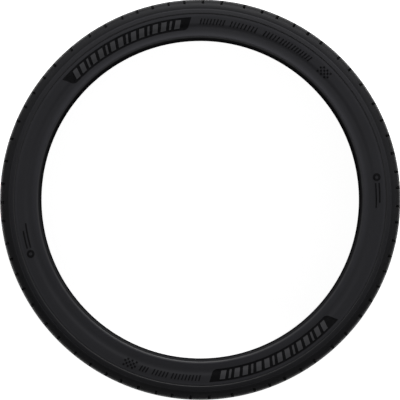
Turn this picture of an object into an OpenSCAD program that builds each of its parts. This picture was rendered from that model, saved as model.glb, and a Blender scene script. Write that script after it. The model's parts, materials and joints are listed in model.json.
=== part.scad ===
// Low-profile radial car tyre, moulded and cured as one piece, lying on its side.
// Z is the wheel's axis and the origin is the wheel's centre. The shown sidewall faces up.
// An outline is drawn in the plane of one cut through the tyre: x is the radius, y is along the axis.

/* [Overall size] */
// Diameter of the wheel's bead seats
rim_d = 563.6; // [330:0.1:620]
// Height of the section, from a bead seat to the top of the crown
section_h = 71.1; // [68:0.1:90]
// Width over both sidewalls
section_w = 248; // [244:0.5:262]

/* [Crown] */
// Width between the two tread edges
tread_w = 220; // [212:1:226]
// Radius across the middle of the crown
crown_radius = 2600; // [1400:10:4000]
// Width of the middle crown arc
crown_mid_w = 130; // [110:1:150]
// Radius across the sides of the crown
side_crown_radius = 1000; // [700:10:1500]
// Rubber and belts between the crown and the inner liner
crown_thickness = 15.5; // [13:0.1:17]

/* [Circumferential grooves] */
// Depth of the four grooves
groove_depth = 7.6; // [5:0.1:8.5]
// Width of the two inner grooves at the surface
inner_groove_w = 10; // [7:0.1:12]
// Width of the two outer grooves at the surface
outer_groove_w = 8.5; // [6:0.1:11]
// Distance of the inner grooves from the middle
inner_groove_z = 21; // [18:0.5:24]
// Distance of the outer grooves from the middle
outer_groove_z = 60; // [57:0.5:63]
// Slope of the groove walls
groove_draft = 8; // [2:1:14]
// Rounding at the foot of the groove walls
groove_foot_radius = 1.2; // [0.4:0.1:1.2]
// Height of the wear bars over the groove floor
wear_bar_h = 1.6; // [0.8:0.1:2.4]
// Length of a wear bar along its groove
wear_bar_l = 8; // [4:0.5:14]

/* [Cross grooves and sipes] */
// Length of a medium block over that of a short one
medium_pitch = 1.16; // [1.05:0.01:1.3]
// Length of a long block over that of a short one
long_pitch = 1.43; // [1.3:0.01:1.6]
// Width of the shoulder grooves
shoulder_groove_w = 4.4; // [2:0.1:6]
// Depth of the shoulder grooves under the top of the crown
shoulder_groove_depth = 8.4; // [5:0.1:9]
// Gap between a shoulder groove and the outer groove
shoulder_groove_gap = 6; // [3:0.5:12]
// Width of the slots in the ribs beside the middle
rib_slot_w = 3; // [2:0.1:4.5]
// Depth of the rib slots under the top of the crown
rib_slot_depth = 6.4; // [4:0.1:7.4]
// Length of the rib slots across the rib
rib_slot_l = 17; // [10:0.5:22]
// Width of the sipes
sipe_w = 1; // [0.6:0.1:1.6]
// Depth of the sipes under the top of the crown
sipe_depth = 6; // [4:0.1:7]
// Length of a shoulder sipe across the rib
shoulder_sipe_l = 32; // [20:1:34]
// Length of a middle sipe across the rib
middle_sipe_l = 20; // [12:1:24]

/* [Sidewall] */
// Height of the widest part over the bead seat
widest_h = 34.2; // [32:0.1:38]
// Width of the flat band at the widest part
rest_band_w = 9; // [4:0.5:11]
// Radius of the sidewall above the flat band
upper_sidewall_radius = 70; // [50:1:120]
// Distance of the ring groove outside the widest part
ring_rise = 11.5; // [9:0.1:15]
// Depth of the ring groove under the sidewall inside it
ring_depth = 0.8; // [0.3:0.05:0.9]
// Width of the ring groove's steep inner side
ring_inner_w = 0.4; // [0.2:0.05:1]
// Width of the ring groove's sloping outer side
ring_slope_w = 2; // [1:0.1:3]
// Height of the shoulder's face over the bottom of the ring groove
ring_step = 0.95; // [0.3:0.05:1]
// Lean of the shoulder's face beside the ring groove
shoulder_lean = 14; // [8:1:20]
// Distance of the line round the shoulder outside the ring groove
shoulder_line_rise = 8; // [6:0.1:10]
// Width of the line round the shoulder
shoulder_line_w = 2; // [1:0.1:3]
// Depth of the line round the shoulder
shoulder_line_depth = 0.35; // [0.1:0.05:0.8]
// Height of the flange valley over the bead seat
valley_h = 20; // [18:0.5:23]
// Depth of the flange valley under the widest part
valley_depth = 1.4; // [1.4:0.1:4]
// Thickness of the sidewall at the widest part
sidewall_thickness = 9; // [6.5:0.1:11]

/* [Plaques] */
// Angle that one plaque spans
plaque_span = 46.2; // [20:0.1:80]
// Height of a plaque's inner edge over the bead seat
plaque_h = 17.1; // [14:0.1:20]
// Width of a plaque, from its inner to its outer edge
plaque_w = 22; // [12:0.1:26]
// Depth of the plaques
plaque_depth = 0.4; // [0.2:0.1:1]
// How much shorter the inner edge is, at each end
plaque_taper = 8; // [0:0.5:16]
// Rounding of the two inner corners
plaque_corner = 6; // [1:0.5:9]

/* [Beads] */
// How much smaller than the seat the bead is, in radius
bead_squeeze = 0.3; // [0:0.1:1]
// Rounding of the heel
heel_radius = 6.8; // [5:0.1:9]
// How far the bead lip stands out from the valley
lip_proud = 1.3; // [0.6:0.1:1.4]
// Width of the round seating band beside the heel
seat_w = 5; // [3:0.1:8]
// Width of the tapered toe band
toe_w = 9; // [6:0.1:12]
// Taper of the toe band
toe_taper = 5; // [2:0.5:8]

/* [Hidden] */
$fn = 180;

// Short, medium and long blocks in an uneven order, which keeps the tread from humming
pitch_order = "MLMSMSSLSMLMSMMSMSMSSSSMLMLSMSSLLMMSMMSMMLMLMSSSLMMLLMSSMSLLMMSSSSM";
first_pitch_turn = 89.2;
plaque_turns = [-244.15, -64.05];
wear_bar_count = 6;

seat_r = rim_d / 2;
crown_r = seat_r + section_h;
bead_r = seat_r - bead_squeeze;
half_w = section_w / 2;
tread_edge_z = tread_w / 2;
widest_r = seat_r + widest_h;
valley_r = seat_r + valley_h;
valley_z = half_w - valley_depth;
lip_z = valley_z + lip_proud;
lip_r = bead_r + heel_radius;
seat_z = lip_z - heel_radius;
toe_z = seat_z - seat_w - toe_w;
toe_r = bead_r - toe_w * tan(toe_taper);
liner_z = half_w - sidewall_thickness;
ring_r = widest_r + ring_rise;
past = 20;

// Lengths of the straight pulls that shape the free curves, at each curve's two ends
shoulder_pull = 7;
tread_edge_pull = 6.5;
valley_pull = 4;
lip_pulls = [0.8, 8];
liner_bead_pulls = [9, 10];
liner_shoulder_pulls = [14, 16];
toe_round = 1.2;

function along(direction) = [cos(direction), sin(direction)];
function on_arc(centre, radius, direction) = centre + radius * along(direction);
function arc(centre, radius, from, to, steps) =
    [for (i = [0 : steps]) on_arc(centre, radius, from + (to - from) * i / steps)];
function turned_over(points) = [for (i = [len(points) - 1 : -1 : 0]) [points[i][0], -points[i][1]]];

// A free curve from p to q, which leaves p and reaches q along the pulls a and b
function free_point(p, a, b, q, t) =
    pow(1 - t, 3) * p + 3 * t * pow(1 - t, 2) * (p + a) + 3 * t * t * (1 - t) * (q - b) + pow(t, 3) * q;
function free_curve(p, a, b, q, steps) = [for (i = [1 : steps - 1]) free_point(p, a, b, q, i / steps)];

// The crown is a wide arc with a tighter one beside it, tangent where they meet
crown_turn = asin(crown_mid_w / 2 / crown_radius);
side_crown_centre = [crown_r - crown_radius, 0] + (crown_radius - side_crown_radius) * along(crown_turn);
function crown_at(z) = abs(z) < crown_mid_w / 2
    ? crown_r - crown_radius + sqrt(pow(crown_radius, 2) - z * z)
    : side_crown_centre[0] + sqrt(pow(side_crown_radius, 2) - pow(abs(z) - side_crown_centre[1], 2));
function crown_slope(z) = asin((z - side_crown_centre[1]) / side_crown_radius);
crown_stations = [0, inner_groove_z, outer_groove_z, (outer_groove_z + tread_edge_z) / 2, tread_edge_z];

// The wall above the flat band leans in evenly, up to the ring groove where the shoulder's rubber starts
band_edge = [widest_r + rest_band_w / 2, half_w];
upper_centre = band_edge - [0, upper_sidewall_radius];
wall_lean = asin((ring_r - ring_slope_w / 2 - ring_inner_w - band_edge[0]) / upper_sidewall_radius);
wall_end = on_arc(upper_centre, upper_sidewall_radius, 90 - wall_lean);
ring_foot = wall_end + [ring_inner_w, -ring_depth];
ring_edge = ring_foot + [ring_slope_w, ring_step];

// Outside the ring groove the shoulder's face is nearly straight, with one shallow line round it
line_inside = ring_edge + (shoulder_line_rise - (ring_slope_w + shoulder_line_w) / 2) / cos(shoulder_lean)
    * along(-shoulder_lean);
line_outside = line_inside + shoulder_line_w * along(-shoulder_lean);
line_bottom = (line_inside + line_outside) / 2 + shoulder_line_depth * along(-90 - shoulder_lean);
tread_edge = [crown_at(tread_edge_z), tread_edge_z];
valley = [valley_r, valley_z];
lip = [lip_r, lip_z];
band_foot = [widest_r - rest_band_w / 2, half_w];

outer_points = concat(
    [for (z = crown_stations) [crown_at(z), z]],
    free_curve(tread_edge, tread_edge_pull * along(90 + crown_slope(tread_edge_z)),
        -shoulder_pull * along(-shoulder_lean), line_outside, 7),
    [line_outside, line_bottom, line_inside, ring_edge, ring_foot],
    arc(upper_centre, upper_sidewall_radius, 90 - wall_lean, 90, 2),
    [band_foot],
    free_curve(band_foot, [-valley_pull, 0], [-valley_pull, 0], valley, 5),
    [valley],
    free_curve(valley, [-lip_pulls[1], 0], [-lip_pulls[0], 0], lip, 5),
    arc([lip_r, seat_z], heel_radius, 90, 180, 7),
    [[bead_r, seat_z - seat_w], [toe_r, toe_z + toe_round], [toe_r + toe_round, toe_z]]
);

toe_inside = [toe_r + toe_round, toe_z];
liner_wide = [widest_r, liner_z];
liner_edge_z = tread_edge_z - 26;
liner_edge = [crown_at(liner_edge_z) - crown_thickness, liner_edge_z];

inner_points = concat(
    free_curve(toe_inside, [liner_bead_pulls[0], 0], [liner_bead_pulls[1], 0], liner_wide, 6),
    [liner_wide],
    free_curve(liner_wide, [liner_shoulder_pulls[0], 0], [0, -liner_shoulder_pulls[1]], liner_edge, 6),
    [for (z = [liner_edge_z, liner_edge_z / 2, 0]) [crown_at(z) - crown_thickness, z]]
);

half_points = concat(outer_points, inner_points);
wall_points = concat(half_points, turned_over([for (i = [1 : len(half_points) - 2]) half_points[i]]));

module groove_outline(z, w) {
    flare = tan(groove_draft);
    foot_z = w / 2 - groove_depth * flare - groove_foot_radius * tan(45 - groove_draft / 2);
    side = concat(
        [[groove_depth + past, w / 2 + past * flare]],
        arc([groove_foot_radius, foot_z], groove_foot_radius, 90 + groove_draft, 180, 3)
    );
    translate([crown_at(z) - groove_depth, z]) polygon(concat(side, turned_over(side)));
}

module wall_outline() {
    difference() {
        polygon(wall_points);
        for (side = [-1, 1]) {
            groove_outline(side * inner_groove_z, inner_groove_w);
            groove_outline(side * outer_groove_z, outer_groove_w);
        }
    }
}

// Low bars across the groove floors, which come flush with the ribs when the tread is worn out
module wear_bars(z, w) {
    floor_r = crown_at(z) - groove_depth;
    for (i = [0 : wear_bar_count - 1])
        rotate(i * 360 / wear_bar_count)
            translate([floor_r - wear_bar_h, -wear_bar_l / 2, z - w / 2])
                cube([2 * wear_bar_h, wear_bar_l, w]);
}

// Where each pitch starts, as an angle
function pitch_length(letter) = letter == "S" ? 1 : letter == "M" ? medium_pitch : long_pitch;
pitch_lengths = [for (letter = pitch_order) pitch_length(letter)];
function sum_to(count) = count == 0 ? 0 : pitch_lengths[count - 1] + sum_to(count - 1);
pitch_total = sum_to(len(pitch_order));
pitch_turns = [for (i = [0 : len(pitch_order) - 1]) first_pitch_turn - 360 * sum_to(i) / pitch_total];
pitch_spans = [for (l = pitch_lengths) 360 * l / pitch_total];

// A cut with straight sides through the tread: its path runs across the tyre, in steps of [along, across]
module tread_cut(path, w, depth) {
    right = [for (p = path) p + [w / 2, 0]];
    left = [for (i = [len(path) - 1 : -1 : 0]) path[i] - [w / 2, 0]];
    translate([crown_r - depth, 0, 0])
        rotate([90, 0, 90])
            linear_extrude(height = depth + past)
                polygon(concat(right, left));
}

// One pitch of the pattern on the upper half of the tread; the lower half has it turned round
module pitch_cuts(span) {
    half_pitch = span / 2;
    groove_start = outer_groove_z + outer_groove_w / 2 + shoulder_groove_gap;
    rib_edge = outer_groove_z - outer_groove_w / 2;
    middle_edge = inner_groove_z - inner_groove_w / 2;
    tread_cut([[-5, groove_start], [0, tread_edge_z - 16], [0, half_w]], shoulder_groove_w,
        shoulder_groove_depth);
    rotate(half_pitch)
        tread_cut([[-3, groove_start], [1, groove_start + shoulder_sipe_l]], sipe_w, sipe_depth);
    rotate(half_pitch / 2)
        tread_cut([[4, rib_edge + 1], [-6, rib_edge - rib_slot_l]], rib_slot_w, rib_slot_depth);
    rotate(half_pitch)
        tread_cut([[4, middle_edge + 1], [-4, middle_edge + 1 - middle_sipe_l]], sipe_w, sipe_depth);
}

module tread_pattern() {
    for (i = [0 : len(pitch_order) - 1]) {
        rotate(pitch_turns[i]) pitch_cuts(pitch_spans[i]);
        rotate(pitch_turns[i] + pitch_spans[i] / 2) rotate([180, 0, 0]) pitch_cuts(pitch_spans[i]);
    }
}

// A shallow field in the upper sidewall, with ends that draw in towards the bead
module plaque_cut() {
    inner_r = seat_r + plaque_h;
    outer_r = inner_r + plaque_w;
    inner_corner = on_arc([0, 0], inner_r, plaque_span / 2 - plaque_taper / inner_r * 180 / PI);
    outer_corner = on_arc([0, 0], outer_r, plaque_span / 2);
    beyond = inner_corner + 3 * (outer_corner - inner_corner);
    inner_end = atan(inner_corner[1] / inner_corner[0]);
    intersection() {
        rotate_extrude()
            difference() {
                translate([inner_r - 1, liner_z]) square([plaque_w + 1, sidewall_thickness + past]);
                translate([0, -plaque_depth]) wall_outline();
            }
        linear_extrude(height = half_w + past)
            offset(r = plaque_corner, $fn = 36)
                offset(delta = -plaque_corner)
                    polygon(concat(
                        arc([0, 0], inner_r, -inner_end, inner_end, 24),
                        [beyond, [beyond[0], -beyond[1]]]
                    ));
    }
}

module tyre() {
    color([0.13, 0.13, 0.14])
        difference() {
            union() {
                rotate_extrude() wall_outline();
                for (side = [-1, 1]) {
                    wear_bars(side * inner_groove_z, inner_groove_w);
                    wear_bars(side * outer_groove_z, outer_groove_w);
                }
            }
            tread_pattern();
            for (turn = plaque_turns) rotate(turn) plaque_cut();
        }
}

tyre();
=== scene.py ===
import bisect
import json
import math

import bpy
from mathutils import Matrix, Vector


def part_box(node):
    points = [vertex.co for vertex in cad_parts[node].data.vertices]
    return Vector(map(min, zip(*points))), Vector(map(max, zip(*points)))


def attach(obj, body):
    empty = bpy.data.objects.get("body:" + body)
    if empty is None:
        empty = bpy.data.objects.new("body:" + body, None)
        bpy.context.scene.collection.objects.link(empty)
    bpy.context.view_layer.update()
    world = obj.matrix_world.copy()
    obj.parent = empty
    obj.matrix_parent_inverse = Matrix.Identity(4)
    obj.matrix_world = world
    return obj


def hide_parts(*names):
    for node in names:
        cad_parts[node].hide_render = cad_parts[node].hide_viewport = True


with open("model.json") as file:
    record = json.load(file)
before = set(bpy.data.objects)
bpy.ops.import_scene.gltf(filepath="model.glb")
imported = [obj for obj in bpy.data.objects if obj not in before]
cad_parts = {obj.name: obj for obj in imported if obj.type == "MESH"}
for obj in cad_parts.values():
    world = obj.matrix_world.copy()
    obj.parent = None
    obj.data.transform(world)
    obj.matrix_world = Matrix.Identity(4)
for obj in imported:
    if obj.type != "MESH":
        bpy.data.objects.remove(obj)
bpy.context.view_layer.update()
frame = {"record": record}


# Camera
# The tyre lies on its sidewall, so the camera looks straight down on it, with the photo's top towards +Y.
# A very long lens from far off gives the photo's flat, square-on view.

mm = 0.001
image_width = 400
silhouette_radius_px = 200.1
silhouette_centre_px = (200.2, 199.7)
camera_distance = 30.0
sensor_width = 36.0

crown_radius_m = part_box("tyre")[1].x
half_width_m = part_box("tyre")[1].z
metres_per_px = crown_radius_m / silhouette_radius_px
view_width = image_width * metres_per_px

camera_data = bpy.data.cameras.new("Camera")
camera_data.sensor_width = sensor_width
camera_data.lens = sensor_width * camera_distance / view_width
camera_data.clip_start = 1.0
camera_data.clip_end = 4 * camera_distance
camera = bpy.data.objects.new("Camera", camera_data)
camera.location = (
    (image_width / 2 - silhouette_centre_px[0]) * metres_per_px,
    (silhouette_centre_px[1] - image_width / 2) * metres_per_px,
    camera_distance,
)
bpy.context.scene.collection.objects.link(camera)
bpy.context.scene.camera = camera
bpy.context.scene.view_settings.view_transform = "Standard"


# Floor and light
# A plain white floor under the tyre, which stays white to the camera and keeps a soft shadow, and white walls
# far behind it. The main light comes from above the photo, a little from its right, with a weak one from
# below and two faint ones from overhead and from the right.

floor_reach = 30.0
floor_white = (0.8, 0.8, 0.8, 1)
floor_glow = 0.93

floor_mesh = bpy.data.meshes.new("floor")
floor_mesh.from_pydata(
    [(x * floor_reach, y * floor_reach, -half_width_m) for x, y in ((-1, -1), (1, -1), (1, 1), (-1, 1))],
    [],
    [(0, 1, 2, 3)],
)
floor = bpy.data.objects.new("floor", floor_mesh)
bpy.context.scene.collection.objects.link(floor)


# Shader and geometry nodes are written as Python: a Signal is one value on its way through a node tree,
# its arithmetic adds Math nodes, and a Recipe's node() adds any other node.


class Signal:
    def __init__(self, recipe, socket):
        self.recipe = recipe
        self.socket = socket

    def math(self, operation, *others):
        return self.recipe.maths(operation, self, *others)

    def __add__(self, other):
        return self.math("ADD", other)

    def __mul__(self, other):
        return self.math("MULTIPLY", other)

    def __sub__(self, other):
        return self.math("SUBTRACT", other)

    def __truediv__(self, other):
        return self.math("DIVIDE", other)

    def __pow__(self, other):
        return self.math("POWER", other)

    def __gt__(self, other):
        return self.math("GREATER_THAN", other)

    def __lt__(self, other):
        return self.math("LESS_THAN", other)

    def __rsub__(self, other):
        return self.recipe.maths("SUBTRACT", other, self)

    def __rtruediv__(self, other):
        return self.recipe.maths("DIVIDE", other, self)

    __radd__ = __add__
    __rmul__ = __mul__


class Recipe:
    def __init__(self, tree):
        self.tree = tree
        self.values = {}

    def given(self, name, kind, value):
        """A named input of a geometry tree, and the value that its modifier sets there."""
        socket = self.tree.interface.new_socket(name, in_out="INPUT", socket_type=kind)
        self.values[socket.identifier] = value
        return Signal(self, self.tree.nodes.new("NodeGroupInput").outputs[name])

    def node(self, kind, settings=None, inputs=None, output=0):
        made = self.tree.nodes.new(kind)
        for name, value in (settings or {}).items():
            setattr(made, name, value)
        for key, value in (inputs or {}).items():
            if isinstance(value, Signal):
                self.tree.links.new(value.socket, made.inputs[key])
            else:
                made.inputs[key].default_value = value
        return Signal(self, made.outputs[output]) if made.outputs else None

    def maths(self, operation, *values):
        return self.node("ShaderNodeMath", {"operation": operation}, dict(enumerate(values)))


def seen_white(recipe):
    """1 for rays from the camera and for those that carry a mirror image of the surroundings."""
    kinds = ("Is Camera Ray", "Is Glossy Ray", "Is Transmission Ray")
    rays = [recipe.node("ShaderNodeLightPath", output=kind) for kind in kinds]
    return rays[0].math("MAXIMUM", rays[1]).math("MAXIMUM", rays[2])


floor_material = bpy.data.materials.new("floor")
floor_material.use_nodes = True
floor_material.node_tree.nodes.clear()
floor_recipe = Recipe(floor_material.node_tree)
lit = floor_recipe.node("ShaderNodeBsdfDiffuse", inputs={"Color": floor_white})
glow = floor_recipe.node(
    "ShaderNodeEmission", inputs={"Color": (1, 1, 1, 1), "Strength": seen_white(floor_recipe) * floor_glow}
)
floor_recipe.node(
    "ShaderNodeOutputMaterial",
    inputs={"Surface": floor_recipe.node("ShaderNodeAddShader", inputs={0: lit, 1: glow})},
)
floor_mesh.materials.append(floor_material)

world = bpy.data.worlds.new("studio")
world.use_nodes = True
world.node_tree.nodes.clear()
bpy.context.scene.world = world
world_recipe = Recipe(world.node_tree)
room_light = 0.13
wall_top = math.sin(math.radians(6))
wall_fade = 12
sky_direction = world_recipe.node("ShaderNodeTexCoord", output="Generated")
sky_height = world_recipe.node("ShaderNodeSeparateXYZ", inputs={0: sky_direction}, output=2)
wall = ((wall_top - sky_height) * wall_fade).math("MAXIMUM", 0).math("MINIMUM", 1)
room = world_recipe.node("ShaderNodeBackground", inputs={"Color": (1, 1, 1, 1), "Strength": room_light})
backdrop = world_recipe.node("ShaderNodeBackground", inputs={"Color": (1, 1, 1, 1), "Strength": 1.0})
backdrop_share = seen_white(world_recipe) * wall
surroundings = world_recipe.node("ShaderNodeMixShader", inputs={0: backdrop_share, 1: room, 2: backdrop})
world_recipe.node("ShaderNodeOutputWorld", inputs={"Surface": surroundings})


def softbox(name, place, width, height, watts):
    light = bpy.data.lights.new(name, "AREA")
    light.shape = "RECTANGLE"
    light.size = width
    light.size_y = height
    light.energy = watts
    lamp = bpy.data.objects.new(name, light)
    lamp.location = place
    lamp.rotation_euler = (-Vector(place)).to_track_quat("-Z", "Y").to_euler()
    bpy.context.scene.collection.objects.link(lamp)


softbox("key", (0.6, 3.9, 1.6), 3.0, 1.0, 225)
softbox("overhead", (0, 0, 2.6), 2.4, 2.4, 3)
softbox("right", (1.8, 0.2, 1.6), 1.6, 0.8, 2)
softbox("low", (-0.6, -3.6, 1.8), 3.0, 1.2, 14)


# Tyre
# One moulding of black rubber, vulcanised over steel and textile cords in a segmented mould. Its outline is
# swept round the axis, and the mould's ribs leave the grooves, slots and sipes in short, medium and long
# pitches.

bead_mount = next(m for m in frame["record"]["mounts"] if m["name"] == "bead_seat_top")
crown_r = crown_radius_m / mm
half_w = half_width_m / mm
bead_r = bead_mount["dims"]["r_mm"]
seat_w = bead_mount["dims"]["length_mm"]
seat_z = bead_mount["pos_m"][2] / mm + seat_w / 2
bead_squeeze = 0.3
seat_r = bead_r + bead_squeeze

tread_edge_z = 110
crown_radius = 2600
crown_mid_w = 130
side_crown_radius = 1000
crown_thickness = 15.5
groove_depth = 7.6
groove_draft = 8
groove_foot_radius = 1.2
groove_edge_round = 0.4
inner_groove = (21, 10)
outer_groove = (60, 8.5)
middle_rib = (0, 8)
inner_rib = (32, 50)
shoulder_rib_z = 70
wear_bar_l = 8
wear_bar_h = 1.6
wear_bar_count = 6
widest_r = seat_r + 34.2
rest_band_w = 9
upper_sidewall_radius = 70
ring_r = widest_r + 11.5
ring_depth = 0.8
ring_inner_w = 0.1
ring_slope_w = 2
ring_step = 0.95
shoulder_lean = 14
shoulder_line = (8, 2, 0.35)
shoulder_edge_round = 0.2
shoulder_pull = 7
tread_edge_pull = 6.5
valley = Vector((seat_r + 20, half_w - 1.4))
lip = Vector((bead_r + 6.8, valley.y + 1.3))
valley_pull = 4
lip_pulls = (0.8, 8)
heel_radius = lip.x - bead_r
sidewall_thickness = 9
toe_reach = 9
toe_taper = 5
toe_z = seat_z - seat_w - toe_reach
toe_r = bead_r - toe_reach * math.tan(math.radians(toe_taper))
toe_round = 1.2
liner_edge_z = tread_edge_z - 26
liner_crown_steps = 4
liner_bead_pulls = (9, 10)
liner_shoulder_pulls = (14, 16)
past = 20


def along(direction):
    return Vector((math.cos(math.radians(direction)), math.sin(math.radians(direction))))


def arc(centre, radius, start, end, steps):
    return [Vector(centre) + radius * along(start + (end - start) * i / steps) for i in range(steps + 1)]


def free_curve(p, a, b, q, steps):
    """Points between p and q on a curve that leaves p along the pull a and reaches q along the pull b."""
    p, a, b, q = map(Vector, (p, a, b, q))
    shares = [i / steps for i in range(1, steps)]
    return [
        (1 - t) ** 3 * p + 3 * t * (1 - t) ** 2 * (p + a) + 3 * t * t * (1 - t) * (q - b) + t**3 * q
        for t in shares
    ]


crown_turn = math.degrees(math.asin(crown_mid_w / 2 / crown_radius))
crown_centre = Vector((crown_r - crown_radius, 0))
side_crown_centre = crown_centre + (crown_radius - side_crown_radius) * along(crown_turn)


def crown_at(z):
    if abs(z) < crown_mid_w / 2:
        return crown_r - crown_radius + math.sqrt(crown_radius**2 - z * z)
    return side_crown_centre.x + math.sqrt(side_crown_radius**2 - (abs(z) - side_crown_centre.y) ** 2)


def crown_run(start, end, steps):
    return [Vector((crown_at(z), z)) for z in (start + (end - start) * i / steps for i in range(steps + 1))]


def groove_wall(z, width, side):
    """One wall of a groove, from the crown down to its floor, with a softened edge and a round foot."""
    flare = math.tan(math.radians(groove_draft))
    edge_z = z + side * width / 2
    foot_gap = groove_foot_radius * math.tan(math.radians(45 - groove_draft / 2))
    foot_z = width / 2 - groove_depth * flare - foot_gap
    floor_r = crown_at(z) - groove_depth
    foot = arc((groove_foot_radius, foot_z), groove_foot_radius, 90 + groove_draft, 180, 3)
    return [
        Vector((crown_at(edge_z), edge_z + side * groove_edge_round)),
        Vector((crown_at(edge_z) - groove_edge_round, edge_z)),
    ] + [Vector((floor_r + p.x, z + side * p.y)) for p in foot]


def groove(z, width):
    return groove_wall(z, width, -1) + groove_wall(z, width, 1)[::-1]


def softened(corners, reach):
    """The corners of a bent line, each one cut back to a small round; the line's two ends stay."""
    points = [corners[0]]
    for before, corner, after in zip(corners, corners[1:], corners[2:]):
        start = corner + reach * (before - corner).normalized()
        end = corner + reach * (after - corner).normalized()
        points += [start, corner * 0.5 + (start + end) * 0.25, end]
    return points + [corners[-1]]


band_edge = Vector((widest_r + rest_band_w / 2, half_w))
band_foot = Vector((widest_r - rest_band_w / 2, half_w))
upper_centre = band_edge - Vector((0, upper_sidewall_radius))
wall_end_r = ring_r - ring_slope_w / 2 - ring_inner_w
wall_lean = math.degrees(math.asin((wall_end_r - band_edge.x) / upper_sidewall_radius))
wall_end = upper_centre + upper_sidewall_radius * along(90 - wall_lean)
ring_foot = wall_end + Vector((ring_inner_w, -ring_depth))
ring_edge = ring_foot + Vector((ring_slope_w, ring_step))
line_rise, line_w, line_depth = shoulder_line
line_gap = (line_rise - (ring_slope_w + line_w) / 2) / along(shoulder_lean).x
line_inside = ring_edge + line_gap * along(-shoulder_lean)
line_outside = line_inside + line_w * along(-shoulder_lean)
line_bottom = (line_inside + line_outside) / 2 + line_depth * along(-90 - shoulder_lean)
tread_edge = Vector((crown_at(tread_edge_z), tread_edge_z))
crown_slope = math.degrees(math.asin((tread_edge_z - side_crown_centre.y) / side_crown_radius))

from_crown = tread_edge_pull * along(90 + crown_slope)
to_shoulder = -shoulder_pull * along(-shoulder_lean)

crown_points = (
    crown_run(*middle_rib, 1)
    + groove(*inner_groove)
    + crown_run(*inner_rib, 2)
    + groove(*outer_groove)
    + crown_run(shoulder_rib_z, tread_edge_z, 4)
    + free_curve(tread_edge, from_crown, to_shoulder, line_outside, 12)
)
shoulder_corners = [line_outside, line_bottom, line_inside, ring_edge, ring_foot]
shoulder_points = softened(shoulder_corners, shoulder_edge_round)
wall_points = (
    [ring_foot]
    + arc(upper_centre, upper_sidewall_radius, 90 - wall_lean, 90, 4)
    + [band_foot]
    + free_curve(band_foot, (-valley_pull, 0), (-valley_pull, 0), valley, 7)
    + [valley]
    + free_curve(valley, (-lip_pulls[1], 0), (-lip_pulls[0], 0), lip, 8)
    + arc((lip.x, lip.y - heel_radius), heel_radius, 90, 180, 8)
)
toe_inside = Vector((toe_r + toe_round, toe_z))
bead_points = [Vector((bead_r, seat_z - seat_w)), Vector((toe_r, toe_z + toe_round)), toe_inside]
liner_wide = Vector((widest_r, half_w - sidewall_thickness))
liner_edge = Vector((crown_at(liner_edge_z) - crown_thickness, liner_edge_z))
under_crown = [liner_edge_z * i / liner_crown_steps for i in range(liner_crown_steps, -1, -1)]
liner_points = (
    free_curve(toe_inside, (liner_bead_pulls[0], 0), (liner_bead_pulls[1], 0), liner_wide, 8)
    + [liner_wide]
    + free_curve(liner_wide, (liner_shoulder_pulls[0], 0), (0, -liner_shoulder_pulls[1]), liner_edge, 9)
    + [Vector((crown_at(z) - crown_thickness, z)) for z in under_crown]
)
half_outline = crown_points + shoulder_points[:-1] + wall_points + bead_points + liner_points
outline = half_outline + [Vector((p.x, -p.y)) for p in half_outline[-2:0:-1]]


def wall_height(radius):
    """Height of the shown sidewall at a radius, between its bead lip and its ring groove."""
    rising = [p for p in reversed(wall_points[1:]) if p.x >= lip.x]
    i = min(max(bisect.bisect([p.x for p in rising], radius), 1), len(rising) - 1)
    low, high = rising[i - 1], rising[i]
    return low.y + (high.y - low.y) * (radius - low.x) / max(high.x - low.x, 0.001)


def tool(name, points, faces, material=None):
    """A mesh that a geometry tree takes in, given in millimetres. It isn't part of the scene."""
    mesh = bpy.data.meshes.new(name)
    mesh.from_pydata([[v * mm for v in p] for p in points], [], faces)
    if material:
        mesh.materials.append(material)
    return bpy.data.objects.new(name, mesh)


def path_tool(name, points, closed):
    links = [(i, i + 1) for i in range(len(points) - 1)] + ([(len(points) - 1, 0)] if closed else [])
    mesh = bpy.data.meshes.new(name)
    mesh.from_pydata([(p.x * mm, p.y * mm, 0) for p in points], links, [])
    return bpy.data.objects.new(name, mesh)


sharp_from = 38


def moulded(name, recipe, geometry, material=None):
    """Closes a geometry tree, runs it on an empty mesh and keeps what it makes as a plain mesh."""
    made = recipe.node("GeometryNodeRealizeInstances", inputs={0: geometry})
    if material:
        finish = recipe.given("Material", "NodeSocketMaterial", material)
        made = recipe.node("GeometryNodeSetMaterial", inputs={"Geometry": made, "Material": finish})
    recipe.tree.interface.new_socket("Geometry", in_out="OUTPUT", socket_type="NodeSocketGeometry")
    recipe.node("NodeGroupOutput", inputs={0: made})
    piece = bpy.data.objects.new(name, bpy.data.meshes.new(name))
    bpy.context.scene.collection.objects.link(piece)
    modifier = piece.modifiers.new("moulding", "NODES")
    modifier.node_group = recipe.tree
    for identifier, value in recipe.values.items():
        modifier[identifier] = value
    evaluated = piece.evaluated_get(bpy.context.evaluated_depsgraph_get())
    mesh = bpy.data.meshes.new_from_object(evaluated)
    piece.modifiers.remove(modifier)
    piece.data = mesh
    mesh.shade_smooth()
    mesh.set_sharp_from_angle(angle=math.radians(sharp_from))
    return piece


def geometry_recipe(name):
    return Recipe(bpy.data.node_groups.new(name, "GeometryNodeTree"))


# The rubber: carbon black in natural and synthetic rubber. The mould's skin leaves a fine grain and faint
# turning marks, and handling and bloom leave soft lighter patches.


def surface_recipe(name):
    material = bpy.data.materials.new(name)
    material.use_nodes = True
    material.node_tree.nodes.clear()
    return material, Recipe(material.node_tree)


def polar(recipe):
    """Where a point lies on the tyre: its radius and height in millimetres, and its angle in degrees."""
    place = recipe.node("ShaderNodeTexCoord", output="Object")
    x, y, z = (recipe.node("ShaderNodeSeparateXYZ", inputs={0: place}, output=o) for o in range(3))
    radius = (x * x + y * y) ** 0.5 / mm
    turn = y.math("ARCTAN2", x) * (180 / math.pi)
    return place, radius, turn, z / mm


def xyz(recipe, x, y, z):
    return recipe.node("ShaderNodeCombineXYZ", inputs={0: x, 1: y, 2: z})


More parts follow.
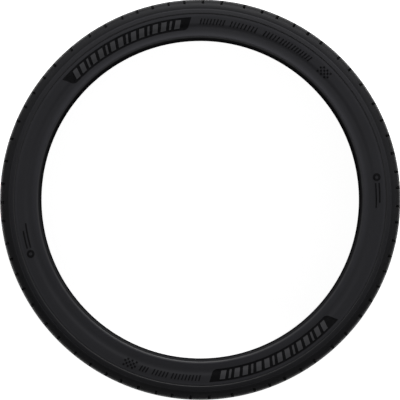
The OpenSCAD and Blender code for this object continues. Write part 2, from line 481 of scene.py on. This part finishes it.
def near(value, middle, reach):
    """1 where a value is at the middle, falling evenly to 0 at the reach."""
    return (1 - (value - middle).math("ABSOLUTE") / reach).math("MAXIMUM", 0)


def noise(recipe, place, scale, detail, roughness=0.55):
    return recipe.node(
        "ShaderNodeTexNoise",
        inputs={"Vector": place, "Scale": scale, "Detail": detail, "Roughness": roughness},
    )


# How far the grain, the bloom and the turning marks change the rubber's tone, shine and relief
fine_tone = 0.12
fine_shine = 0.06
bloom_shine = 0.14
bloom_relief = 0.8
turning_stretch = (0.9, 0.012, 0.05)
turning_relief = 0.25
polish_roughness = 0.45
polish_ior = 1.9


def rubber(
    name, tone, roughness, grain, turning=0.0, patches=0.12, painted_light_and_polish_rings=(), relief=None, specular=0.45
):
    """tone is the rubber's linear colour, and grain the depth of its grain in millimetres. turning and
    patches say how strong the turning marks and the soft patches are. Each ring paints light into the tone:
    its radius, the reach over which it fades out, how much lighter it is painted (below zero, painted shade),
    and its polish, which is a real coat."""
    material, recipe = surface_recipe(name)
    place, radius, turn, height = polar(recipe)
    fine = noise(recipe, place, scale=900.0, detail=2.0)
    broad = noise(recipe, place, scale=14.0, detail=4.0)
    bloom = noise(recipe, place, scale=55.0, detail=5.0, roughness=0.65)
    level = 1 + (broad - 0.5) * (2 * patches) + (bloom - 0.5) * patches + (fine - 0.5) * fine_tone
    if turning:
        drawn_out = (part * stretch for part, stretch in zip((radius, turn, height), turning_stretch))
        rings = noise(recipe, xyz(recipe, *drawn_out), scale=1.0, detail=4.0, roughness=0.7)
        level = level + (rings - 0.5) * turning
    polish = 0.0
    # Each ring paints light into the tone where its gain is above zero and shade where it is below; its
    # polish is a real coat.
    for ring, reach, painted_gain, shiny in painted_light_and_polish_rings:
        band = near(radius, ring, reach) * (bloom + 0.5)
        level = level + band * painted_gain
        polish = polish + band * shiny
    colour = recipe.node(
        "ShaderNodeMix",
        {"data_type": "RGBA", "blend_type": "MIX"},
        {"Factor": level - 0.5, 6: (*[c * 0.5 for c in tone], 1), 7: (*[c * 1.5 for c in tone], 1)},
        output=2,
    )
    shine = roughness + (bloom - 0.5) * bloom_shine + (fine - 0.5) * fine_shine
    surface = fine * grain + bloom * (grain * bloom_relief)
    if turning:
        surface = surface + rings * (turning * turning_relief)
    if relief:
        surface = surface + relief(recipe, radius, turn, height)
    normal = recipe.node(
        "ShaderNodeBump",
        inputs={"Strength": 1.0, "Distance": mm, "Height": surface},
    )
    shader = recipe.node(
        "ShaderNodeBsdfPrincipled",
        inputs={
            "Base Color": colour,
            "Roughness": shine,
            "Specular IOR Level": specular,
            "Coat Weight": polish,
            "Coat Roughness": polish_roughness,
            "Coat IOR": polish_ior,
            "Normal": normal,
        },
    )
    recipe.node("ShaderNodeOutputMaterial", inputs={"Surface": shader})
    return material


mould_segments = 9
flash_half_w = 0.35
flash_h = 0.12


def segment_lines(recipe, radius, turn, height):
    """Flash as thin as a hair where the mould's tread segments meet. A full turn is added to the angle, which
    also runs below zero."""
    segment_turn = 360 / mould_segments
    degree_w = math.pi / 180 * crown_r
    along_segment = (turn + 360).math("MODULO", segment_turn) * degree_w
    return near(along_segment, segment_turn / 2 * degree_w, flash_half_w) * flash_h


sidewall_tone = (0.0190, 0.0190, 0.0223)
tread_tone = (0.0156, 0.0156, 0.0172)
# Painted shade: the grooves, slots, sipes and wear bars are painted at a third of the tread's tone, for the
# shade that falls in them.
groove_shade_tone = [0.35 * c for c in tread_tone]
chafer_tone = (0.0180, 0.0180, 0.0193)
liner_tone = (0.0135, 0.0132, 0.0135)
# Painted light and shade on the sidewall, set to how the lamps fall: the lip's flank and edge and a band past
# the widest point are painted lighter, and the heel crest, the ring groove's slope and the shoulder are
# painted darker. The heel crest and the ring slope also carry a real polish.
lip_light = (lip.x + 1.5, 8.0, 0.6, 0.0)
painted_lip_highlight = (lip.x + 1.0, 2.2, 0.5, 0.02)
painted_heel_shade = (lip.x - 2.4, 2.2, -0.6, 0.48)
painted_ring_slope_shade = (ring_foot.x + 1.1, 1.4, -0.85, 0.45)
band_light = (band_edge.x + 3.5, 3.0, 0.25, 0.01)
shoulder_shade = (ring_edge.x + 4.0, 5.0, -0.22, 0.0)
# Painted shade on the tread's crown edge, where it turns away from the view; crown_edge below adds only a
# real polish.
crown_shade = (crown_r - 3.8, 4.2, -0.6, 0.0)
crown_edge = (crown_r - 10.5, 5.0, 0.0, 0.03)
sidewall_rubber = rubber(
    "sidewall_rubber", sidewall_tone, roughness=0.72, grain=0.035, turning=0.10, specular=0.25,
    painted_light_and_polish_rings=[lip_light, painted_lip_highlight, painted_heel_shade, painted_ring_slope_shade, band_light, shoulder_shade],
)
tread_rubber = rubber(
    "tread_rubber", tread_tone, roughness=0.66, grain=0.05, patches=0.16, specular=0.09,
    painted_light_and_polish_rings=[crown_shade, crown_edge], relief=segment_lines,
)
chafer_rubber = rubber("chafer_rubber", chafer_tone, roughness=0.8, grain=0.02, specular=0.0)
groove_rubber = rubber(
    "groove_rubber", groove_shade_tone, roughness=0.8, grain=0.03, patches=0.1, specular=0.08
)
liner_rubber = rubber("liner_rubber", liner_tone, roughness=0.42, grain=0.05, patches=0.3)


velvet_r = 310
velvet_pitch = 0.9
velvet_h = 0.12


def velvet_ridges(recipe, radius, turn, height):
    """Ridges finer than a millimetre that fan out from the axis and swallow the light."""
    wave = turn * (math.pi / 180 * velvet_r * 2 * math.pi / velvet_pitch)
    return wave.math("SINE") * velvet_h


# Painted shade: the plaque fields and the small sidewall marks are painted far darker than the sidewall, for
# the light that the velvet ridges swallow; the ridges themselves are a real fine relief.
plaque_painted_shade_tone = (0.0042, 0.0042, 0.0050)
plaque_rubber = rubber(
    "plaque_rubber", plaque_painted_shade_tone, roughness=0.8, grain=0.02, patches=0.08, relief=velvet_ridges, specular=0.1
)


# Tread tools: the mould's ribs, one of each kind, which the tree sets out pitch by pitch. The number beside
# each is its place, as a share of the pitch.


def tread_tool(name, path, width, depth):
    """A rib with straight sides. Its path runs across the tyre from within, in steps of (along, across)."""
    sides = [(u + width / 2, v) for u, v in path] + [(u - width / 2, v) for u, v in reversed(path)]
    count = len(sides)
    points = [(r, u, v) for r in (crown_r - depth, crown_r + past) for u, v in sides]
    faces = [tuple(range(count))[::-1], tuple(range(count, 2 * count))]
    faces += [(i, (i + 1) % count, (i + 1) % count + count, i + count) for i in range(count)]
    return tool(name, points, faces, groove_rubber)


shoulder_groove_gap = 6
groove_start = outer_groove[0] + outer_groove[1] / 2 + shoulder_groove_gap
rib_edge = outer_groove[0] - outer_groove[1] / 2
middle_edge = inner_groove[0] - inner_groove[1] / 2
shoulder_groove = [(-5, groove_start), (0, tread_edge_z - 16), (0, half_w)]
shoulder_sipe = [(-3, groove_start), (1, groove_start + 32)]
rib_slot = [(-6, rib_edge - 17), (4, rib_edge + 1)]
middle_sipe = [(-4, middle_edge - 19), (4, middle_edge + 1)]
tread_tools = [
    (tread_tool("shoulder_groove", shoulder_groove, width=4.4, depth=8.4), 0.0),
    (tread_tool("shoulder_sipe", shoulder_sipe, width=1, depth=6), 0.5),
    (tread_tool("rib_slot", rib_slot, width=3, depth=6.4), 0.25),
    (tread_tool("middle_sipe", middle_sipe, width=1, depth=6), 0.5),
]


def turning_points(name, **angles):
    """Points on the axis that carry angles, given in degrees, which turn the shapes that are put on them."""
    mesh = bpy.data.meshes.new(name)
    mesh.from_pydata([(0, 0, 0)] * len(next(iter(angles.values()))), [], [])
    for key, values in angles.items():
        attribute = mesh.attributes.new(key, "FLOAT", "POINT")
        attribute.data.foreach_set("value", [math.radians(v) for v in values])
    return bpy.data.objects.new(name, mesh)


pitch_order = "MLMSMSSLSMLMSMMSMSMSSSSMLMLSMSSLLMMSMMSMMLMLMSSSLMMLLMSSMSLLMMSSSSM"
pitch_lengths = [{"S": 1.0, "M": 1.16, "L": 1.43}[letter] for letter in pitch_order]
pitch_spans = [360 * length / sum(pitch_lengths) for length in pitch_lengths]
first_pitch_turn = 89.2
pitch_turns = [first_pitch_turn - sum(pitch_spans[:i]) for i in range(len(pitch_spans))]
pitches = turning_points("pitches", turn=pitch_turns, span=pitch_spans)


# Wear bars: low steps on the groove floors, which come flush with the ribs when the tread is worn out


def wear_bar_tool(name, z, width):
    floor_r = crown_at(z) - groove_depth
    points = [
        (floor_r + h, along_groove * wear_bar_l / 2, z + side * width / 2)
        for h in (-wear_bar_h, wear_bar_h) for side in (-1, 1) for along_groove in (-1, 1)
    ]
    faces = [(0, 2, 3, 1), (4, 5, 7, 6), (0, 1, 5, 4), (2, 6, 7, 3), (0, 4, 6, 2), (1, 3, 7, 5)]
    return tool(name, points, faces, groove_rubber)


wear_bar_tools = [
    wear_bar_tool("inner_wear_bar", *inner_groove),
    wear_bar_tool("outer_wear_bar", *outer_groove),
]
wear_bar_turns = turning_points("wear bars", turn=[i * 360 / wear_bar_count for i in range(wear_bar_count)])


# Plaque tool: the mould's raised plate that leaves a shallow field, with ends that draw in towards the bead

plaque_turns = (-244.15, -64.05)
plaque_span = 46.2
plaque_low = seat_r + 17.1
plaque_high = plaque_low + 22
plaque_depth = 0.4
plaque_taper = 8
plaque_corner = 6
plaque_columns = 72
plaque_steps = 8


def plaque_end(radius):
    """Half the angle that a plaque spans at a radius, in degrees."""
    rise = (radius - plaque_low) / (plaque_high - plaque_low)
    end = plaque_span / 2 - math.degrees(plaque_taper / plaque_low) * (1 - rise)
    from_corner = max(plaque_corner - (radius - plaque_low), 0)
    return end - math.degrees((plaque_corner - math.sqrt(plaque_corner**2 - from_corner**2)) / radius)


def plaque_tool():
    corner_rows = [plaque_low + plaque_corner * (1 - math.cos(math.radians(a))) for a in range(0, 90, 15)]
    straight_low = plaque_low + plaque_corner
    straight = plaque_high - plaque_low - plaque_corner
    rows = corner_rows + [straight_low + i * straight / plaque_steps for i in range(plaque_steps + 1)]
    grid = []
    for radius in rows:
        for column in range(plaque_columns + 1):
            turn = plaque_end(radius) * (2 * column / plaque_columns - 1)
            grid.append((radius, turn))
    floor = [(*(r * along(a)), wall_height(r) - plaque_depth) for r, a in grid]
    roof = [(*(r * along(a)), half_w + past) for r, a in grid]
    width, count = plaque_columns + 1, len(grid)
    faces = []
    for row in range(len(rows) - 1):
        for column in range(plaque_columns):
            i = row * width + column
            faces.append((i, i + 1, i + width + 1, i + width))
            faces.append((i + count, i + width + count, i + width + 1 + count, i + 1 + count))
    rim = list(range(width)) + [(row + 1) * width - 1 for row in range(1, len(rows))]
    rim += [count - 1 - i for i in range(1, width)] + [row * width for row in range(len(rows) - 2, 0, -1)]
    for a, b in zip(rim, rim[1:] + rim[:1]):
        faces.append((a, a + count, b + count, b))
    return tool("plaque", floor + roof, faces, plaque_rubber)


plaques = turning_points("plaques", turn=plaque_turns)

moulding = geometry_recipe("tyre moulding")
outline_in = moulding.given("Outline", "NodeSocketObject", path_tool("outline", outline, True))
ring_steps = moulding.given("Ring steps", "NodeSocketInt", 300)
sweep_radius = moulding.given("Sweep radius", "NodeSocketFloat", 0.1)
pitch_table = moulding.given("Pitches", "NodeSocketObject", pitches)
wall_finish = moulding.given("Sidewall rubber", "NodeSocketMaterial", sidewall_rubber)
tread_finish = moulding.given("Tread rubber", "NodeSocketMaterial", tread_rubber)
chafer_finish = moulding.given("Chafer rubber", "NodeSocketMaterial", chafer_rubber)
liner_finish = moulding.given("Liner rubber", "NodeSocketMaterial", liner_rubber)


def taken(recipe, source):
    return recipe.node("GeometryNodeObjectInfo", inputs={"Object": source}, output="Geometry")


profile = moulding.node("GeometryNodeMeshToCurve", inputs={0: taken(moulding, outline_in)})
profile = moulding.node(
    "GeometryNodeSetPosition",
    inputs={"Geometry": profile, "Offset": xyz(moulding, sweep_radius * -1, 0.0, 0.0)},
)
circle = moulding.node(
    "GeometryNodeCurvePrimitiveCircle", inputs={"Resolution": ring_steps, "Radius": sweep_radius}
)
body = moulding.node("GeometryNodeCurveToMesh", inputs={"Curve": circle, "Profile Curve": profile})

here = moulding.node("GeometryNodeInputPosition")
x, y, z = (moulding.node("ShaderNodeSeparateXYZ", inputs={0: here}, output=o) for o in range(3))
radius = (x * x + y * y) ** 0.5 / mm
height = z.math("ABSOLUTE") / mm
liner_widest_r = 318
liner_half_w = 119.5
liner_bend = 0.0065
liner_limit = liner_half_w - (radius - liner_widest_r) ** 2 * liner_bend
under_tread = crown_r - 12
past_toe = bead_r + 1.5
chafer_edge = lip.x - 4.2
on_tread = radius > line_outside.x
on_liner = (radius < under_tread) * (radius > past_toe) * (height < liner_limit)
on_bead = radius < chafer_edge
for finish, where in (
    (wall_finish, True), (tread_finish, on_tread), (liner_finish, on_liner), (chafer_finish, on_bead)
):
    body = moulding.node(
        "GeometryNodeSetMaterial", inputs={"Geometry": body, "Selection": where, "Material": finish}
    )


def instanced(recipe, points, shape, rotation):
    made = recipe.node(
        "GeometryNodeInstanceOnPoints", inputs={"Points": points, "Instance": shape, "Rotation": rotation}
    )
    return recipe.node("GeometryNodeRealizeInstances", inputs={0: made})


def joined(recipe, *parts):
    join = recipe.node("GeometryNodeJoinGeometry")
    for part in parts:
        recipe.tree.links.new(part.socket, join.socket.node.inputs[0])
    return join


def carved(recipe, solid, cutter, operation="DIFFERENCE"):
    made = recipe.node("GeometryNodeMeshBoolean", {"solver": "MANIFOLD", "operation": operation})
    sockets = made.socket.node.inputs
    recipe.tree.links.new(solid.socket, sockets["Mesh 1" if operation == "DIFFERENCE" else "Mesh 2"])
    recipe.tree.links.new(cutter.socket, sockets["Mesh 2"])
    return made


pitch_geometry = taken(moulding, pitch_table)
turn = moulding.node("GeometryNodeInputNamedAttribute", {"data_type": "FLOAT"}, {"Name": "turn"})
span = moulding.node("GeometryNodeInputNamedAttribute", {"data_type": "FLOAT"}, {"Name": "span"})
wear_bars = taken(moulding, moulding.given("Wear bars", "NodeSocketObject", wear_bar_turns))
for shape in wear_bar_tools:
    bar = taken(moulding, moulding.given(shape.name, "NodeSocketObject", shape))
    for flip in (0.0, math.pi):
        bars = instanced(moulding, wear_bars, bar, xyz(moulding, flip, 0.0, turn))
        body = carved(moulding, body, bars, "UNION")
plaque_points = taken(moulding, moulding.given("Plaques", "NodeSocketObject", plaques))
plaque_shape = taken(moulding, moulding.given("Plaque", "NodeSocketObject", plaque_tool()))
plaque_fields = instanced(moulding, plaque_points, plaque_shape, xyz(moulding, 0.0, 0.0, turn))
body = carved(moulding, body, plaque_fields)
for shape, share in tread_tools:
    rib = taken(moulding, moulding.given(shape.name, "NodeSocketObject", shape))
    placed = xyz(moulding, 0.0, 0.0, turn + span * share)
    turned_over = xyz(moulding, math.pi, 0.0, turn + span * (0.5 - share))
    upper = instanced(moulding, pitch_geometry, rib, placed)
    lower = instanced(moulding, pitch_geometry, rib, turned_over)
    body = carved(moulding, carved(moulding, body, upper), lower)
tyre = moulded("tyre_moulding", moulding, body)
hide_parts("tyre")
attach(tyre, "root")


# Sidewall marks
# Low plain shapes of the same rubber, moulded on the shown sidewall by cuts in the mould's plate: slanted
# bars in the plaques, groups of fine bars, two chequered patches, and two rings with bars. The plaque bars
# are painted lighter, a painted sheen, and the other marks darker, a painted shade.


def from_top(clockwise):
    """Turns an angle read clockwise from the photo's top into one from the X axis."""
    return 90 - clockwise


class Marks:
    """Flat shapes drawn on the sidewall by radius and angle, in one mesh."""

    def __init__(self):
        self.points = []
        self.faces = []

    def strip(self, turn, stations):
        """A strip that runs outwards. Each station is its radius, its shift and half its width."""
        first = len(self.points)
        for radius, shift, half_width in stations:
            for side in (-1, 1):
                angle = turn + math.degrees((shift + side * half_width) / radius)
                self.points.append((*(radius * along(angle)), 0))
        for i in range(first, len(self.points) - 2, 2):
            self.faces.append((i, i + 1, i + 3, i + 2))

    def bar(self, turn, low, high, width, lean=0.0, steps=6):
        shares = [i / steps for i in range(steps + 1)]
        self.strip(turn, [(low + (high - low) * t, lean * (t - 0.5), width / 2) for t in shares])

    def ring(self, turn, radius, outer, inner, sides=20):
        first = len(self.points)
        middle = radius * along(turn)
        for i in range(sides):
            for reach in (inner, outer):
                self.points.append((*(middle + reach * along(turn + 360 * i / sides)), 0))
        for i in range(sides):
            a, b = first + 2 * i, first + 2 * ((i + 1) % sides)
            self.faces.append((a, a + 1, b + 1, b))

    def ring_bar(self, start, end, low, high, steps=14):
        first = len(self.points)
        for i in range(steps + 1):
            for radius in (low, high):
                self.points.append((*(radius * along(start + (end - start) * i / steps)), 0))
        for i in range(first, len(self.points) - 2, 2):
            self.faces.append((i, i + 1, i + 3, i + 2))


def marks_on_sidewall(name, marks, stand_proud, material, sink=0.35):
    """Raises flat marks and drapes them over the moulding, so that each follows the sidewall under it."""
    recipe = geometry_recipe(name)
    flat_tool = tool(f"flat_{name}", marks.points, marks.faces)
    shapes = recipe.given("Marks", "NodeSocketObject", flat_tool)
    carrier = recipe.given("Sidewall", "NodeSocketObject", tyre)
    proud = recipe.given("Stand proud", "NodeSocketFloat", stand_proud * mm)
    sunk = recipe.given("Sink", "NodeSocketFloat", sink * mm)
    lift = 1 * mm
    flat = taken(recipe, shapes)
    upwards = xyz(recipe, 0.0, 0.0, 1.0)
    raised = recipe.node(
        "GeometryNodeExtrudeMesh", {"mode": "FACES"},
        {"Mesh": flat, "Offset": upwards, "Offset Scale": lift, "Individual": False},
    )
    under = recipe.node("GeometryNodeFlipFaces", inputs={"Mesh": flat})
    both = joined(recipe, raised, under)
    closed = recipe.node(
        "GeometryNodeMergeByDistance", inputs={"Geometry": both, "Distance": 0.01 * mm}
    )
    here = recipe.node("GeometryNodeInputPosition")
    x, y, z = (recipe.node("ShaderNodeSeparateXYZ", inputs={0: here}, output=o) for o in range(3))
    hit = recipe.node(
        "GeometryNodeRaycast",
        inputs={
            "Target Geometry": taken(recipe, carrier),
            "Source Position": xyz(recipe, x, y, half_width_m + past * mm),
            "Ray Direction": xyz(recipe, 0.0, 0.0, -1.0),
            "Ray Length": 2 * past * mm,
        },
        output="Hit Position",
    )
    level = recipe.node("ShaderNodeSeparateXYZ", inputs={0: hit}, output=2)
    height = level - sunk + (z > lift / 2) * (proud + sunk)
    lifted = xyz(recipe, x, y, height)
    draped = recipe.node("GeometryNodeSetPosition", inputs={"Geometry": closed, "Position": lifted})
    piece = moulded(name, recipe, draped, material)
    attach(piece, "root")


# Painted sheen: the bars in the plaques are painted about twice as light as the sidewall, for the sheen of
# raised smooth rubber; their lower roughness is real gloss.
sheen_painted_tone = (0.0350, 0.0350, 0.0388)
polished_rubber = rubber("polished_rubber", sheen_painted_tone, roughness=0.6, grain=0.01, patches=0.1)
plaque_bar_low = plaque_low + 3.6
plaque_bar_high = plaque_high - 3.2
plaque_bars = Marks()
bar_widths = (9.5, 9.5, 4.0)
bar_gap = 5.2
plaque_end_gap = 12
last_bar_room = 6
bar_lean = -5.0
for middle in plaque_turns:
    reach = math.radians(plaque_end(plaque_bar_low)) * plaque_low - plaque_end_gap
    place = -reach
    count = 0
    while place < reach - last_bar_room:
        width = bar_widths[count % len(bar_widths)]
        turn_here = middle - math.degrees((place + width / 2) / plaque_low)
        plaque_bars.bar(turn_here, plaque_bar_low, plaque_bar_high, width, lean=bar_lean)
        place += width + bar_gap
        count += 1
marks_on_sidewall("plaque_bars", plaque_bars, 0.5, polished_rubber)

band_low = 308.1
band_high = 318.3
bar_pitch = 5.9
fine_bar_w = 2.2
fine_bar_lean = -3.0
hatched_bands = (
    (0.2, 7.6), (10.0, 18.2), (21.2, 25.8), (27.2, 37.9), (180.2, 189.0), (190.8, 195.2), (197.4, 199.4)
)
chequer_middles = (44.2, 203.2)
chequer_rows = 4
chequer_half = 3
chequer_low = band_low - 3.2
chequer_cell = 4.0
chequer_square = 3.3
ring_marks = ((82.7, 9.9, 8.2), (252.3, 10.0, 7.7))
ring_mark_r = band_low + 4.5
ring_mark_outer = 6.9
ring_mark_inner = 3.0
ring_bar_start = 1.9
ring_bar_w = 2.6
ring_bar_rise = 6.1
small_marks = Marks()
for start, end in hatched_bands:
    steps = round(math.radians(end - start) * band_low / bar_pitch)
    for i in range(steps + 1):
        turn_here = from_top(start + (end - start) * i / steps)
        small_marks.bar(turn_here, band_low, band_high, fine_bar_w, lean=fine_bar_lean, steps=5)
for middle in chequer_middles:
    for row in range(chequer_rows):
        for column in range(-chequer_half, chequer_half):
            if (row + column) % 2:
                low = chequer_low + row * chequer_cell
                turn_here = from_top(middle) - math.degrees((column + 0.5) * chequer_cell / low)
                small_marks.bar(turn_here, low, low + chequer_square, chequer_square, steps=2)
for middle, near_end, far_end in ring_marks:
    small_marks.ring(from_top(middle), ring_mark_r, ring_mark_outer, ring_mark_inner)
    bar_start = from_top(middle + ring_bar_start)
    for low, end in ((band_low, near_end), (band_low + ring_bar_rise, far_end)):
        small_marks.ring_bar(bar_start, from_top(middle + end), low, low + ring_bar_w)
marks_on_sidewall("sidewall_marks", small_marks, 0.3, plaque_rubber)


# Liner ribs
# Fine ribs on the inner liner, of its own airtight rubber, from bead to bead. The vent grooves of the curing
# bladder leave them when it presses the tyre into the mould.

liner_rib_count = 120
liner_rib_radius = 0.5
rib_half = [toe_inside.lerp(liner_points[0], 0.6)] + liner_points
rib_path = rib_half + [Vector((p.x, -p.y)) for p in rib_half[-2::-1]]
ribs = geometry_recipe("liner ribs")
path_in = ribs.given("Path", "NodeSocketObject", path_tool("liner_rib", rib_path, False))
rib_turns = turning_points("ribs", turn=[i * 360 / liner_rib_count for i in range(liner_rib_count)])
turns_in = ribs.given("Turns", "NodeSocketObject", rib_turns)
rib_radius_in = ribs.given("Rib radius", "NodeSocketFloat", liner_rib_radius * mm)
rib_line = ribs.node("GeometryNodeMeshToCurve", inputs={0: taken(ribs, path_in)})
rib_round = ribs.node("GeometryNodeCurvePrimitiveCircle", inputs={"Resolution": 4, "Radius": rib_radius_in})
rib = ribs.node(
    "GeometryNodeCurveToMesh", inputs={"Curve": rib_line, "Profile Curve": rib_round, "Fill Caps": True}
)
rib_turn = ribs.node("GeometryNodeInputNamedAttribute", {"data_type": "FLOAT"}, {"Name": "turn"})
all_ribs = instanced(ribs, taken(ribs, turns_in), rib, xyz(ribs, math.pi / 2, 0.0, rib_turn))
liner_ribs = moulded("liner_ribs", ribs, all_ribs, liner_rubber)
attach(liner_ribs, "root")
